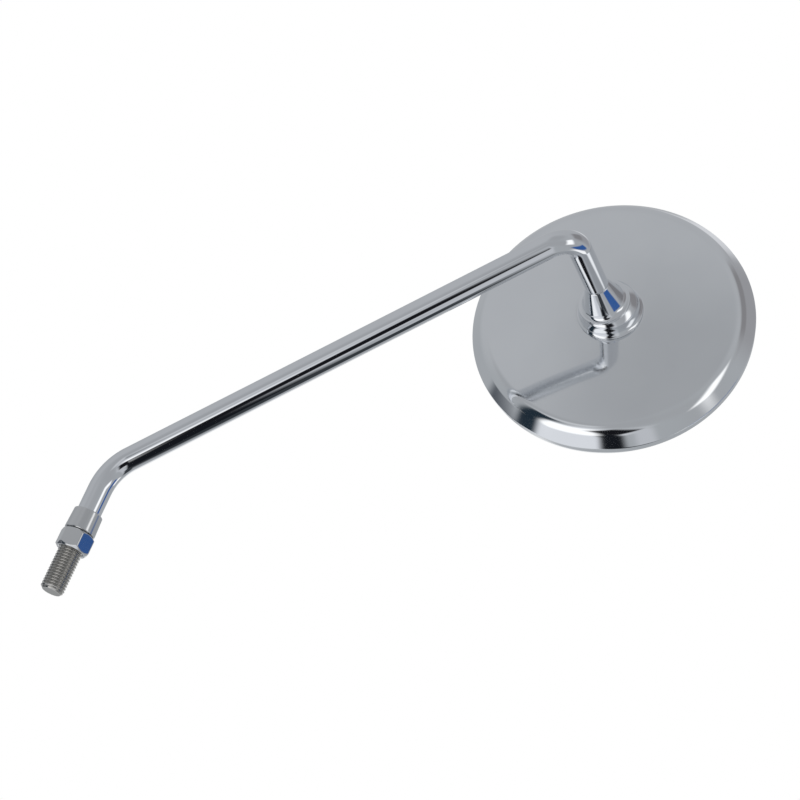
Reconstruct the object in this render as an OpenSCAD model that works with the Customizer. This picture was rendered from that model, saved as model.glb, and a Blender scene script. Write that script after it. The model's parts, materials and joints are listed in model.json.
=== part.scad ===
// Round motorcycle mirror on a bent chrome stem, left hand.
// The head turns on a ball joint behind its back shell.
// Frame: origin on the stud's axis, in the plane of the lock nut's lower face.
// +Z runs up the stud's axis, the glass faces -Y, and the stem reaches to -X.

/* [Stem] */
// Outer radius of the stem tube
tube_r = 5; // [4:0.25:6]
// Wall of the stem tube
tube_wall = 1.5; // [1:0.1:2]
// Height of the lower bend's corner above the nut's lower face
lower_corner_z = 37.8; // [36:0.2:60]
// Length of the arm, from the lower bend's corner to the upper bend's
arm_len = 209.8; // [120:0.2:300]
// Length of the leg, from the upper bend's corner to the ball's centre
leg_len = 64.4; // [60:0.2:90]
// Angle of the arm above the horizontal
arm_rise = 43.1; // [20:0.1:60]
// Angle of the arm behind the plane of the handlebar
arm_back = 10.1; // [2:0.1:30]
// Angle of the leg below the horizontal
leg_drop = 1.6; // [0:0.1:8]
// Angle by which the leg's end points outwards
leg_out = 6.5; // [0:0.1:12]
// Centreline radius of the lower bend
lower_bend_r = 22; // [14:0.5:24]
// Centreline radius of the upper bend
upper_bend_r = 10; // [9:0.5:16]
// Swelling of the tube's section in its bends
bend_swell = 0.03; // [0.02:0.01:0.06]

/* [Stud fitting] */
// Radius of the threaded stud
stud_r = 5; // [4:0.25:5.5]
// Length of the stud below the nut
stud_free = 18.6; // [12:0.1:30]
// Chamfer at the stud's tip
stud_chamfer = 1.1; // [0.5:0.1:1.5]
// Height of the collar
collar_h = 9.1; // [6:0.1:14]
// Radius of the collar at its foot
collar_foot_r = 6.5; // [6.2:0.05:7.5]
// Radius of the collar at its top
collar_top_r = 6.1; // [5.6:0.05:6.2]
// Edge chamfer of the collar
collar_chamfer = 0.45; // [0.2:0.05:0.8]
// Length of the spigot inside the tube
spigot_len = 8; // [5:0.5:9]
// Width of the groove at the nut's face
groove_w = 0.8; // [0.5:0.1:1.5]
// Depth of the groove at the nut's face
groove_depth = 0.35; // [0.25:0.05:0.6]

/* [Lock nut] */
// Width of the nut across its flats
nut_flats = 13; // [12:0.5:17]
// Height of the nut
nut_h = 8.2; // [5:0.1:10]
// Turn of the nut on its thread
nut_turn = 5; // [0:1:59]
// Gap between the nut and the collar
nut_gap = 0.2; // [0.1:0.05:0.5]
// Fall of the nut's corner chamfer
nut_chamfer = 1.3; // [0.6:0.1:1.6]
// Radius of the nut's end faces
nut_face_r = 6.1; // [5.9:0.1:6.3]

/* [Cone] */
// Distance of the cone's top from the ball's centre
cone_top_h = 26; // [24:0.2:30]
// Radius of the cone's lip
lip_r = 10.9; // [10:0.1:11.4]
// Thickness of the cone's lip
lip_h = 0.9; // [0.6:0.1:1.4]
// Radius at which the straight cone passes into the flare
flare_r = 8.1; // [7:0.1:9]
// Height of the flare above the lip
flare_h = 3.4; // [2.5:0.1:5]

/* [Ball stud] */
// Radius of the ball
ball_r = 6; // [5.5:0.1:6.2]
// Radius of the ball stud's neck
neck_r = 3; // [2.5:0.1:3.2]
// Length of the shank inside the tube
shank_in_tube = 14; // [8:0.5:18]

/* [Swivel base] */
// Distance of the ball's centre above the rim's plane
pivot_h = 8.8; // [8.6:0.1:9.8]
// Radius of the dome that the cone's lip runs over
dome_r = 16; // [15.5:0.1:16.5]
// Wall of the dome
dome_wall = 1.4; // [1:0.1:1.8]
// Half angle of the dome's opening, seen from the ball's centre
mouth_angle = 27; // [24:0.5:30]
// Radius of the base at its shoulder
shoulder_r = 11.8; // [11.6:0.1:12.6]
// Radius of the base's foot on the shell
foot_r = 13.7; // [13.4:0.1:14.4]
// Height of the foot's upright edge
foot_h = 0.4; // [0.2:0.1:0.8]
// Radius of the threaded spigot
spigot_r = 12; // [11.6:0.1:12]
// Radius of the base's bore
bore_r = 10.5; // [10.3:0.1:10.6]
// Inward step that stops the seat ring
stop_w = 0.7; // [0.4:0.1:1]

/* [Ball seats] */
// Wall of the nylon liners
liner_wall = 1.9; // [1.5:0.1:2]
// Half angle of the upper liner's opening
liner_mouth = 38; // [34:1:42]
// Half angle of the gap between the two liners
liner_gap = 7; // [6:0.5:9]
// Angle at which the lower liner ends
liner_foot = 135; // [125:1:138]
// Top of the seat ring above the ball's centre
seat_top = 6.3; // [6:0.1:7]
// Half the gap between the seat ring and the pressure ring
ring_gap = 0.4; // [0.2:0.1:0.8]
// Thickness of the pressure ring's flange
flange_h = 2.2; // [1.6:0.1:2.4]
// Depth of the pressure ring below the ball's centre
ring_depth = 6.4; // [6:0.1:6.6]
// Thickness of the thrust washer
washer_h = 0.5; // [0.3:0.1:0.8]
// Thickness of the wave spring's strip
strip_h = 0.4; // [0.3:0.05:0.5]
// Overall height of the wave spring
spring_h = 1.5; // [1.2:0.1:1.8]
// Number of waves in the spring
spring_waves = 3; // [2:1:4]

/* [Retaining cap] */
// Outer radius of the cap
cap_r = 14.2; // [13.6:0.1:14.3]
// Thickness of the cap's floor
cap_floor = 1.2; // [0.8:0.1:1.4]
// Radius of the hole in the cap's floor
cap_hole_r = 8; // [7.8:0.1:8.6]
// Width of the cap's spanner slots
slot_w = 3.2; // [2:0.2:4]
// Number of spanner slots
slot_count = 4; // [2:1:6]

/* [Back shell] */
// Outer radius of the head
head_r = 58.9; // [50:0.1:70]
// Radius of the shell's shallow dome
shell_dome_r = 340; // [300:5:500]
// Height of the dome's crown above the rim's plane
crown_h = 14.15; // [13.8:0.05:14.8]
// Steepness of the shell's shoulder
shoulder_steep = 54; // [50:1:60]
// Rounding between the dome and the shoulder
crease_r = 8; // [3:0.5:12]
// Height of the shell's edge above the rim's plane
edge_z = 2.3; // [2:0.1:2.6]
// Height of the upright edge below the shoulder
edge_h = 0.6; // [0.4:0.1:1]
// Wall of the shell
shell_wall = 0.9; // [0.7:0.05:1]
// Radius of the flat seat round the shell's hole
seat_flat_r = 14.4; // [14:0.1:15]
// Angle by which the head looks down
head_pitch = 3.7; // [0:0.1:8]

/* [Backing plate] */
// Radius of the backing plate
plate_r = 24; // [20:0.5:28]
// Thickness of the backing plate
plate_wall = 1.5; // [1:0.1:1.6]

/* [Glass and rim] */
// Radius of the glass's convex face
glass_curve_r = 1200; // [1000:50:2000]
// Thickness of the glass
glass_h = 2; // [1.8:0.1:2.2]
// Depth of the glass's middle below the rim's plane
glass_depth = 3.2; // [3.1:0.05:3.3]
// Radius by which the rim stays inside the shell's edge
rim_inset = 0.4; // [0.2:0.05:0.6]
// Rounding of the rim's nose
rim_round_r = 3; // [2.9:0.1:3.3]
// Width of the rim's flat lip over the glass
rim_lip_w = 1.2; // [0.8:0.1:2]
// Thickness of the rim's lip
rim_lip_h = 0.55; // [0.4:0.05:0.6]
// Wall of the rim's skirt inside the shell
skirt_wall = 0.65; // [0.5:0.05:0.9]
// Height of the skirt's tucked-in end above the rim's plane
skirt_h = 4.4; // [3.5:0.1:5]
// Seam between the shell's edge and the rim
seam = 0.15; // [0.1:0.05:0.3]
// Wall of the rubber gasket round the glass's edge
gasket_wall = 1.4; // [1:0.1:1.6]
// Inner radius of the cushion pad
pad_in_r = 30; // [26:0.5:34]
// Distance of the cushion pad's outer edge from the head's
pad_margin = 10.9; // [10:0.1:14]

/* [Fits] */
// Running clearance on the thread and between ball and liners
run_gap = 0.05; // [0.02:0.01:0.09]
// Gap between sheets and rings that are pressed together
lay = 0.05; // [0.02:0.01:0.08]
// Clearance between the cone's lip and the dome
lip_gap = 0.15; // [0.1:0.01:0.3]

/* [Hidden] */

chrome_colour = "silver";
plated_colour = "lightsteelblue";
nylon_colour = "ivory";
$fn = 96;
glass_fn = 2880;
facet_fn = 10;

// Directions of the arm and the leg, and the corners of the stem's line
arm_dir = [
    -cos(arm_rise) * cos(arm_back),
    cos(arm_rise) * sin(arm_back),
    sin(arm_rise)
];
leg_dir = [
    -cos(leg_drop) * sin(leg_out),
    -cos(leg_drop) * cos(leg_out),
    -sin(leg_drop)
];
up_dir = [0, 0, 1];
lower_corner = [0, 0, lower_corner_z];
upper_corner = lower_corner + arm_len * arm_dir;
ball_at = upper_corner + leg_len * leg_dir;
head_dir = [0, cos(head_pitch), sin(head_pitch)];
head_up = [0, -sin(head_pitch), cos(head_pitch)];
head_at = ball_at - pivot_h * head_dir;

// Direction of the lower liner, which follows the leg in height and the head in heading
liner_dir = [0, cos(leg_drop), sin(leg_drop)];
liner_up = [0, -sin(leg_drop), cos(leg_drop)];

tube_bore_r = tube_r - tube_wall;
collar_z = nut_h + nut_gap;
tube_z = collar_z + collar_h;
nut_corner_r = nut_flats / 2 / cos(30);
nut_bore_r = stud_r + run_gap;

// Shell sizes that the other pieces share
dome_centre_z = crown_h - shell_dome_r;
seat_z = dome_centre_z + sqrt(pow(shell_dome_r, 2) - pow(seat_flat_r, 2));
shoulder_top_z = edge_z + edge_h;
// The shoulder is a cone: its normal, its distance, and the centre of the crease's rounding,
// which lies crease_r inside both the cone and the dome
cone_normal = [sin(shoulder_steep), cos(shoulder_steep)];
cone_down = [cos(shoulder_steep), -sin(shoulder_steep)];
cone_far = cone_normal * [head_r, shoulder_top_z];
cone_foot = (cone_far - crease_r) * cone_normal - [0, dome_centre_z];
crease_step = cone_foot * cone_down
    + sqrt(pow(cone_foot * cone_down, 2) - cone_foot * cone_foot + pow(shell_dome_r - crease_r, 2));
crease_at = cone_foot - crease_step * cone_down + [0, dome_centre_z];
crease_from = atan2(crease_at[1] - dome_centre_z, crease_at[0]);
plate_top_z = seat_z - shell_wall - lay;
cap_top_z = plate_top_z - plate_wall - lay;

// Levels of the ball joint's stack, above the rim's plane
seat_top_z = pivot_h + seat_top;
flange_z = pivot_h - ring_gap - flange_h;
washer_z = flange_z - washer_h;
floor_z = washer_z - spring_h;
liner_out_r = ball_r + run_gap + liner_wall;
seat_ball_r = liner_out_r + run_gap;
stop_r = bore_r - stop_w;
belly_r = seat_ball_r + liner_wall / 3;
spring_in_r = belly_r + 0.2;

// Levels of the glass and the rim, below the rim's plane
glass_centre_z = glass_curve_r - glass_depth;
rim_r = head_r - rim_inset;
skirt_out_r = head_r - shell_wall - lay;
skirt_in_r = skirt_out_r - skirt_wall;
gasket_r = skirt_in_r - lay;
glass_r = gasket_r - gasket_wall;
pad_out_r = head_r - pad_margin;
rim_mouth_r = rim_r - rim_round_r - rim_lip_w;
rim_low_z = -rim_round_r;

// A rotation matrix with its axes and its origin
function placed(at, x, y, z) = [
    [x[0], y[0], z[0], at[0]],
    [x[1], y[1], z[1], at[1]],
    [x[2], y[2], z[2], at[2]],
    [0, 0, 0, 1]
];
function unit(v) = v / norm(v);
function side_of(z) = unit(cross(abs(z[2]) < 0.9 ? up_dir : [0, 1, 0], z));
function along(at, z) = placed(at, side_of(z), cross(z, side_of(z)), z);

// Points on an arc, from angle a to angle b
function arc(centre, r, a, b, steps) = [
    for (i = [0 : steps])
        let (t = a + (b - a) * i / steps)
        [centre[0] + r * cos(t), centre[1] + r * sin(t)]
];

module on_leg() {
    multmatrix(along(ball_at, -leg_dir)) children();
}

module on_head() {
    multmatrix(placed(head_at, [-1, 0, 0], head_up, head_dir)) children();
}

module on_liner() {
    multmatrix(placed(ball_at, [-1, 0, 0], liner_up, liner_dir)) children();
}

module ring(inner, outer, low, high) {
    translate([0, 0, low])
        difference() {
            cylinder(r = outer, h = high - low);
            translate([0, 0, -1]) cylinder(r = inner, h = high - low + 2);
        }
}

// A round bar from one point to another
module bar(from, to, r) {
    multmatrix(along(from, unit(to - from)))
        cylinder(r = r, h = norm(to - from));
}

// A round bar bent about a corner, from one direction to another
module bent_bar(corner, d1, d2, bend_r, r) {
    turn = acos(d1 * d2);
    inward = unit(d2 - (d1 * d2) * d1);
    start = corner - bend_r * tan(turn / 2) * d1;
    multmatrix(placed(start + bend_r * inward, -inward, d1, cross(-inward, d1)))
        rotate_extrude(angle = turn)
            translate([bend_r, 0]) circle(r = r);
}

// The stem's line as a solid: its straights reach a little way into its swollen bends
module stem_line(r, end_reach) {
    into_bend = 0.5;
    lower_len = lower_bend_r * tan(acos(up_dir * arm_dir) / 2) - into_bend;
    upper_len = upper_bend_r * tan(acos(arm_dir * leg_dir) / 2) - into_bend;
    bar([0, 0, tube_z - end_reach], lower_corner - lower_len * up_dir, r);
    bent_bar(lower_corner, up_dir, arm_dir, lower_bend_r, r + bend_swell);
    bar(lower_corner + lower_len * arm_dir, upper_corner - upper_len * arm_dir, r);
    bent_bar(upper_corner, arm_dir, leg_dir, upper_bend_r, r + bend_swell);
    bar(
        upper_corner + upper_len * leg_dir,
        ball_at + (end_reach - cone_top_h) * leg_dir,
        r
    );
}

module stem_tube() {
    color(chrome_colour)
        difference() {
            stem_line(tube_r, 0);
            stem_line(tube_bore_r, 1);
        }
}

module stud_fitting() {
    fit_r = tube_bore_r - lay;
    color(plated_colour)
        rotate_extrude()
            polygon([
                [0, -stud_free],
                [stud_r - stud_chamfer, -stud_free],
                [stud_r, stud_chamfer - stud_free],
                [stud_r, 0],
                [stud_r - groove_depth, 0],
                [stud_r - groove_depth, groove_w],
                [stud_r, groove_w],
                [stud_r, collar_z],
                [collar_foot_r - collar_chamfer, collar_z],
                [collar_foot_r, collar_z + collar_chamfer],
                [collar_top_r, tube_z - collar_chamfer],
                [collar_top_r - collar_chamfer, tube_z],
                [fit_r, tube_z],
                [fit_r, tube_z + spigot_len],
                [0, tube_z + spigot_len]
            ]);
}

module lock_nut() {
    sink = 0.6;
    // The chamfers' cones go on past the corners
    over = 1;
    cone_h = nut_chamfer * (1 + over / (nut_corner_r - nut_face_r));
    color(plated_colour)
        difference() {
            intersection() {
                rotate([0, 0, nut_turn])
                    cylinder(r = nut_corner_r, h = nut_h, $fn = 6);
                rotate_extrude()
                    polygon([
                        [0, 0],
                        [nut_face_r, 0],
                        [nut_corner_r + over, cone_h],
                        [nut_corner_r + over, nut_h - cone_h],
                        [nut_face_r, nut_h],
                        [0, nut_h]
                    ]);
            }
            translate([0, 0, -1]) cylinder(r = nut_bore_r, h = nut_h + 2);
            cylinder(r1 = nut_bore_r + sink, r2 = nut_bore_r, h = sink);
            translate([0, 0, nut_h - sink])
                cylinder(r1 = nut_bore_r, r2 = nut_bore_r + sink, h = sink);
        }
}

// The cone's height above the ball's centre at which its lip ends
lip_low_h = sqrt(pow(dome_r + lip_gap, 2) - pow(lip_r, 2));

module cone_ferrule() {
    shank_bore_r = tube_bore_r - lay;
    edge = 0.3;
    lip_top_h = lip_low_h + lip_h;
    flare_top_h = lip_top_h + flare_h;
    // The flare is a quarter of an ellipse, squeezed between the cone and the lip
    flare = [
        for (i = [0 : facet_fn])
            let (t = 90 * i / facet_fn)
            [
                lip_r - edge - (lip_r - edge - flare_r) * sin(t),
                flare_top_h - flare_h * cos(t)
            ]
    ];
    color(chrome_colour)
        on_leg()
            difference() {
                rotate_extrude()
                    polygon(concat(
                        [[0, 0], [lip_r, 0], [lip_r, lip_top_h - edge]],
                        flare,
                        [[tube_r, cone_top_h - edge], [tube_r - edge, cone_top_h - lay]],
                        [[0, cone_top_h - lay]]
                    ));
                sphere(r = dome_r + lip_gap);
                cylinder(r = shank_bore_r, h = cone_top_h + 1);
            }
}

module ball_stud() {
    fit_r = tube_bore_r - 2 * lay;
    shoulder_h = dome_r + 0.5;
    color(plated_colour)
        on_leg() {
            sphere(r = ball_r);
            cylinder(r = neck_r, h = shoulder_h);
            translate([0, 0, shoulder_h - 0.3])
                cylinder(r = fit_r, h = cone_top_h + shank_in_tube - shoulder_h + 0.3);
        }
}

// A zone of a hollow ball, between two angles from its axis
module ball_zone(inner, outer, from, to) {
    reach = 2 * outer;
    rotate_extrude()
        intersection() {
            difference() {
                circle(r = outer);
                circle(r = inner);
            }
            polygon([
                [0, 0],
                [reach * sin(from), reach * cos(from)],
                [reach * 1.5, reach * cos((from + to) / 2)],
                [reach * sin(to), reach * cos(to)]
            ]);
        }
}

module upper_liner() {
    color(nylon_colour)
        on_leg()
            ball_zone(ball_r + run_gap, liner_out_r, liner_mouth, 90 - liner_gap);
}

module lower_liner() {
    color(nylon_colour)
        on_liner()
            ball_zone(ball_r + run_gap, liner_out_r, 90 + liner_gap, liner_foot);
}

module swivel_base() {
    spigot_low_z = floor_z + 0.2;
    foot_z = seat_z + lay;
    round_r = 1.1;
    // Centre of the shoulder's rounding, which touches the dome and the shoulder's radius
    round_at_r = shoulder_r - round_r;
    round_at_z = pivot_h + sqrt(pow(dome_r - round_r, 2) - pow(round_at_r, 2));
    round_from = asin((round_at_z - pivot_h) / (dome_r - round_r));
    flank_w = foot_r - shoulder_r;
    flank_h = round_at_z - foot_z - foot_h;
    // The flank is a quarter of an ellipse, upright at the shoulder
    flank = [
        for (i = [0 : facet_fn])
            let (t = 80 * i / facet_fn)
            [
                shoulder_r + flank_w * (1 - cos(t)) / (1 - cos(80)),
                round_at_z - flank_h * sin(t) / sin(80)
            ]
    ];
    mouth_reach = dome_r + 2;
    color(chrome_colour)
        on_head()
            difference() {
                rotate_extrude()
                    polygon(concat(
                        [[0, spigot_low_z], [spigot_r, spigot_low_z], [spigot_r, foot_z]],
                        [[foot_r, foot_z]],
                        [for (i = [facet_fn : -1 : 0]) flank[i]],
                        arc([round_at_r, round_at_z], round_r, 0, round_from, 6),
                        arc([0, pivot_h], dome_r, round_from, 90, 12)
                    ));
                translate([0, 0, spigot_low_z - 1])
                    cylinder(r = bore_r, h = seat_top_z - spigot_low_z + 1);
                intersection() {
                    translate([0, 0, pivot_h]) sphere(r = dome_r - dome_wall);
                    cylinder(r = stop_r, h = pivot_h + dome_r);
                }
                translate([0, 0, pivot_h])
                    cylinder(r1 = 0, r2 = mouth_reach * tan(mouth_angle), h = mouth_reach);
            }
}

module seat_ring() {
    edge = 0.4;
    low_z = pivot_h + ring_gap;
    high_z = seat_top_z - lay;
    out_r = bore_r - lay;
    color(plated_colour)
        on_head()
            difference() {
                rotate_extrude()
                    polygon([
                        [0, low_z], [out_r - edge, low_z], [out_r, low_z + edge],
                        [out_r, high_z - edge], [out_r - edge, high_z], [0, high_z]
                    ]);
                translate([0, 0, pivot_h]) sphere(r = seat_ball_r);
                translate([0, 0, pivot_h]) cylinder(r = seat_ball_r * sin(45), h = dome_r);
            }
}

module pressure_ring() {
    out_r = bore_r - 2 * lay;
    low_z = pivot_h - ring_depth;
    foot_r_here = seat_ball_r * 0.78;
    color(plated_colour)
        on_head()
            difference() {
                rotate_extrude()
                    polygon([
                        [0, low_z], [foot_r_here, low_z], [belly_r, flange_z - 0.4],
                        [belly_r, flange_z], [out_r, flange_z],
                        [out_r, pivot_h - ring_gap], [0, pivot_h - ring_gap]
                    ]);
                translate([0, 0, pivot_h]) sphere(r = seat_ball_r);
            }
}

module thrust_washer() {
    color("gainsboro")
        on_head()
            ring(spring_in_r, bore_r - 2 * lay, washer_z + lay, flange_z - lay);
}

// A flat strip bent into waves round a circle
module wave_spring() {
    steps = 72;
    inner = spring_in_r + lay;
    outer = bore_r - 3 * lay;
    middle_z = floor_z + spring_h / 2;
    swing = (spring_h - strip_h) / 2 - lay;
    rim_points = [
        for (i = [0 : steps - 1])
            let (t = 360 * i / steps, z = middle_z + swing * cos(spring_waves * t))
            each [
                [inner * cos(t), inner * sin(t), z - strip_h / 2],
                [outer * cos(t), outer * sin(t), z - strip_h / 2],
                [outer * cos(t), outer * sin(t), z + strip_h / 2],
                [inner * cos(t), inner * sin(t), z + strip_h / 2]
            ]
    ];
    strip_faces = [
        for (i = [0 : steps - 1], k = [0 : 3])
            let (a = 4 * i, b = 4 * ((i + 1) % steps), n = (k + 1) % 4)
            [a + k, b + k, b + n, a + n]
    ];
    color("gray") on_head() polyhedron(rim_points, strip_faces, convexity = 4);
}

module retaining_cap() {
    low_z = floor_z - cap_floor;
    edge = 0.5;
    slot_depth = 1.6;
    color(plated_colour)
        on_head()
            difference() {
                rotate_extrude()
                    polygon([
                        [0, low_z], [cap_r - edge, low_z], [cap_r, low_z + edge],
                        [cap_r, cap_top_z], [0, cap_top_z]
                    ]);
                translate([0, 0, floor_z])
                    cylinder(r = spigot_r + lay, h = cap_top_z);
                translate([0, 0, low_z - 1]) cylinder(r = cap_hole_r, h = cap_top_z);
                for (i = [0 : slot_count - 1])
                    rotate([0, 0, 360 * i / slot_count])
                        translate([cap_r - slot_depth, -slot_w / 2, low_z - 1])
                            cube([slot_depth + 1, slot_w, 1 + 2 * slot_depth]);
            }
}

// Height of the shoulder's foot when the head's outline is moved inwards by a distance
function shoulder_foot_z(inset) =
    shoulder_top_z - inset * (1 - sin(shoulder_steep)) / cos(shoulder_steep);

// The dome's outline moved inwards by a distance, from the flat seat out to a radius
function dome_line(inset, out_r) = concat(
    [[spigot_r + lay, seat_z - inset], [seat_flat_r, seat_z - inset]],
    arc([0, dome_centre_z], shell_dome_r - inset,
        acos((seat_flat_r + 2) / (shell_dome_r - inset)),
        acos(out_r / (shell_dome_r - inset)), facet_fn)
);

// The whole outline of the shell moved inwards by a distance, down to its edge
function shell_line(inset) = concat(
    dome_line(inset, (shell_dome_r - inset) * cos(crease_from)),
    arc(crease_at, crease_r - inset, crease_from - 5, 90 - shoulder_steep, 5),
    [[head_r - inset, shoulder_foot_z(inset)], [head_r - inset, edge_z]]
);

function reversed(list) = [for (i = [len(list) - 1 : -1 : 0]) list[i]];

module back_shell() {
    color(chrome_colour)
        on_head()
            rotate_extrude()
                polygon(concat(shell_line(0), reversed(shell_line(shell_wall))));
}

module backing_plate() {
    inset = shell_wall + lay;
    color(plated_colour)
        on_head()
            rotate_extrude()
                polygon(concat(
                    dome_line(inset, plate_r),
                    reversed(dome_line(inset + plate_wall, plate_r))
                ));
}

module cushion_pad() {
    top_r = shell_dome_r - shell_wall - 2 * lay;
    low_r = glass_curve_r - glass_h - 2 * lay;
    color("dimgray")
        on_head()
            rotate_extrude()
                polygon(concat(
                    arc([0, dome_centre_z], top_r,
                        acos(pad_out_r / top_r), acos(pad_in_r / top_r), facet_fn),
                    arc([0, glass_centre_z], low_r,
                        -acos(pad_in_r / low_r), -acos(pad_out_r / low_r), facet_fn)
                ));
}

module mirror_glass() {
    color("lightcyan")
        on_head()
            rotate_extrude()
                intersection() {
                    difference() {
                        translate([0, glass_centre_z])
                            circle(r = glass_curve_r, $fn = glass_fn);
                        translate([0, glass_centre_z])
                            circle(r = glass_curve_r - glass_h, $fn = glass_fn);
                    }
                    translate([0, -glass_depth - 1]) square([glass_r, glass_depth + 2]);
                }
}

module edge_gasket() {
    front_z = glass_centre_z - sqrt(pow(glass_curve_r, 2) - pow(rim_mouth_r, 2));
    back_z = glass_centre_z - sqrt(pow(glass_curve_r - glass_h, 2) - pow(glass_r, 2));
    lap = 1.2;
    color("black")
        on_head()
            rotate_extrude()
                polygon([
                    [glass_r - lap, rim_low_z + rim_lip_h + lay],
                    [gasket_r, rim_low_z + rim_lip_h + lay],
                    [gasket_r, back_z + 0.7],
                    [glass_r - lap, back_z + 0.7],
                    [glass_r - lap, back_z + lay],
                    [glass_r + lay, back_z + lay],
                    [glass_r + lay, front_z - lay],
                    [glass_r - lap, front_z - lay]
                ]);
}

module bezel() {
    inset = shell_wall + lay;
    bend_z = shoulder_foot_z(inset) - 0.05;
    tuck_w = (skirt_h - bend_z) / tan(shoulder_steep);
    color(chrome_colour)
        on_head()
            rotate_extrude()
                polygon(concat(
                    arc([rim_r - rim_round_r, 0], rim_round_r, -90, 0, facet_fn),
                    [
                        [rim_r, edge_z - seam], [skirt_out_r, edge_z - seam],
                        [skirt_out_r, bend_z], [skirt_out_r - tuck_w, skirt_h],
                        [skirt_in_r - tuck_w, skirt_h], [skirt_in_r, bend_z],
                        [skirt_in_r, rim_low_z + rim_lip_h],
                        [rim_mouth_r, rim_low_z + rim_lip_h], [rim_mouth_r, rim_low_z]
                    ]
                ));
}

stem_tube();
stud_fitting();
lock_nut();
cone_ferrule();
ball_stud();
upper_liner();
lower_liner();
swivel_base();
seat_ring();
pressure_ring();
thrust_washer();
wave_spring();
retaining_cap();
backing_plate();
back_shell();
cushion_pad();
mirror_glass();
edge_gasket();
bezel();
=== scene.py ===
"""A round chromed motorcycle mirror on its bent stem, in a light tent, seen from below and behind."""
import json
from math import pi, radians

import bpy
import numpy as np
from mathutils import Matrix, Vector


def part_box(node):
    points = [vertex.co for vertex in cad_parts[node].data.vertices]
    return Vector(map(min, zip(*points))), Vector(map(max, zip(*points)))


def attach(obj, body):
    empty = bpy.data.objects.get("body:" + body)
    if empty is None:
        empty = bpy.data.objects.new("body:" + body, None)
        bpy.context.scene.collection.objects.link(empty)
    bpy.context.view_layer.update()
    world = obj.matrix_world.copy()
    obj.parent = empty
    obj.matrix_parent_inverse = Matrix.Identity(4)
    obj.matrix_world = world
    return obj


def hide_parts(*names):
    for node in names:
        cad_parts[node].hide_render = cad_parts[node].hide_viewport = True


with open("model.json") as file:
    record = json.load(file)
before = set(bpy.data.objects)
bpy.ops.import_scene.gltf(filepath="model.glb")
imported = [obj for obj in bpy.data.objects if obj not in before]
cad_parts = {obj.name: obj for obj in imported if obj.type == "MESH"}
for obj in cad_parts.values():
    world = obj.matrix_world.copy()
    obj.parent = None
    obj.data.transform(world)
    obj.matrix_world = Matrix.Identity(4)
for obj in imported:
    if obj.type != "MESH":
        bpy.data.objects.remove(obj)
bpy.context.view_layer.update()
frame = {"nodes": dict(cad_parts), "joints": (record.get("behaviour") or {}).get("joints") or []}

MM = 0.001


def unit(v):
    """A vector, or rows of vectors, at length one."""
    v = np.asarray(v, float)
    return v / np.linalg.norm(v, axis=-1, keepdims=True)


def box_mm(node_name):
    """Lowest and highest corner of a CAD node, in millimetres."""
    return [np.array(corner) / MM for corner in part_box(node_name)]


# Sizes in millimetres, from the frame where it holds them

# The stem's line: up from the stud, along the arm between two bends, and down the leg to the ball
joint = {j["name"]: j for j in frame["joints"]}
UP = np.array([0.0, 0.0, 1.0])
BALL = np.array(joint["head_tilt"]["pos_m"]) / MM
LEG = -unit(joint["head_spin"]["axis"])
LEG_LEN, LOWER_CORNER_Z = 64.4, 37.8
UPPER_CORNER = BALL - LEG_LEN * LEG
LOWER_CORNER = LOWER_CORNER_Z * UP
ARM = unit(UPPER_CORNER - LOWER_CORNER)
TUBE_R, TUBE_BORE_R = 5.0, 3.5
LOWER_BEND_R, UPPER_BEND_R = 22.0, 10.0

# The stud, the nut from z = 0 upwards, the collar above it and the tube's lower end
NUT_H = box_mm("lock_nut")[1][2]
NUT_FLATS, NUT_GAP, COLLAR_H = 13.0, 0.2, 9.1
COLLAR_Z = NUT_H + NUT_GAP
TUBE_Z = COLLAR_Z + COLLAR_H
STUD_R, PITCH = 5.0, 1.25
STUD_FREE = -box_mm("stud_fitting")[0][2]

# Clearance between pieces that lie on one another
LAY = 0.05

# The cone, measured from the ball's centre, and the dome that its lip rides on
CONE_TOP_H, LIP_R = 26.0, 10.9
DOME_R, LIP_GAP = 16.0, 0.15

# The head: the ball's height in it, its place, and the shell's outline from the edge to the crown
PIVOT_H = 8.8
HEAD_R = np.ptp([corner[0] for corner in box_mm("back_shell")]) / 2
HEAD_PITCH = radians(3.7)
HEAD_DIR = np.array([0, np.cos(HEAD_PITCH), np.sin(HEAD_PITCH)])
HEAD_UP = np.array([0, -np.sin(HEAD_PITCH), np.cos(HEAD_PITCH)])
HEAD = BALL - PIVOT_H * HEAD_DIR
SHELL_DOME_R, CROWN_H, SHELL_WALL = 340.0, 14.15, 0.9
SHOULDER_STEEP, CREASE_R = radians(54), 8.0
EDGE_Z, EDGE_H = 2.3, 0.6
SEAT_FLAT_R, SPIGOT_R = 14.4, 12.0
DOME_CENTRE_Z = CROWN_H - SHELL_DOME_R
SEAT_Z = DOME_CENTRE_Z + np.sqrt(SHELL_DOME_R ** 2 - SEAT_FLAT_R ** 2)
SHOULDER_TOP_Z = EDGE_Z + EDGE_H

# The rim, the glass in its gasket, and the foam ring
RIM_R, NOSE_R, RIM_LIP_W, RIM_LIP_H = HEAD_R - 0.4, 3.0, 1.2, 0.55
SEAM, SKIRT_WALL, SKIRT_H = 0.15, 0.65, 4.4
GLASS_CURVE_R, GLASS_H, GLASS_DEPTH, GASKET_WALL = 1200.0, 2.0, 3.2, 1.4
GLASS_CENTRE_Z = GLASS_CURVE_R - GLASS_DEPTH
GASKET_R = HEAD_R - SHELL_WALL - SKIRT_WALL - 2 * LAY
GLASS_R = GASKET_R - GASKET_WALL
RIM_MOUTH_R = RIM_R - NOSE_R - RIM_LIP_W
PAD_IN_R, PAD_OUT_R = 30.0, HEAD_R - 10.9


# Frames of the pieces

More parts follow.
